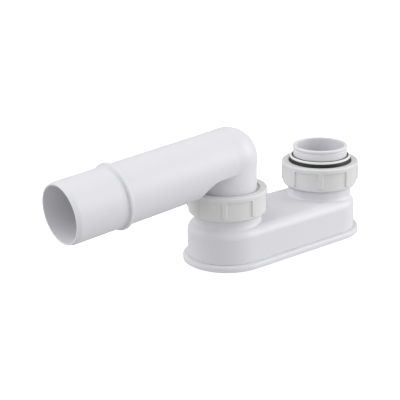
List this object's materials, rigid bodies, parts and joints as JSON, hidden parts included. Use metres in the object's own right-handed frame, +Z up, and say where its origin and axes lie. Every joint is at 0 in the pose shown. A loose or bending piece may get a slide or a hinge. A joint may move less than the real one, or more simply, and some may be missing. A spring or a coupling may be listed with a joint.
{
  "type": "bath trap with outlet tube",
  "caption": "Low oblong water trap with ribbed union nuts, a short open inlet tube and a long outlet tube on a domed elbow.",
  "frame": {"origin": "middle of the base, on the underside of the bottom cover", "axes": "+X along the body towards the inlet, +Z up; the outlet tube points to -X"},
  "size_m": [0.2465, 0.0608, 0.0905],
  "materials": {
    "moulded_pp": "satin moulded",
    "ring_pe": "smooth",
    "seal_rubber": "smooth rubber"
  },
  "bodies": {
    "root": {"trap_body": "moulded_pp", "bottom_cover": "moulded_pp", "outlet_nut": "moulded_pp", "inlet_nut": "moulded_pp", "outlet_elbow": "moulded_pp", "inlet_tube": "moulded_pp", "outlet_slip_ring": "ring_pe", "inlet_slip_ring": "ring_pe", "outlet_seal": "seal_rubber", "inlet_seal": "seal_rubber"}
  },
  "joints": []
}
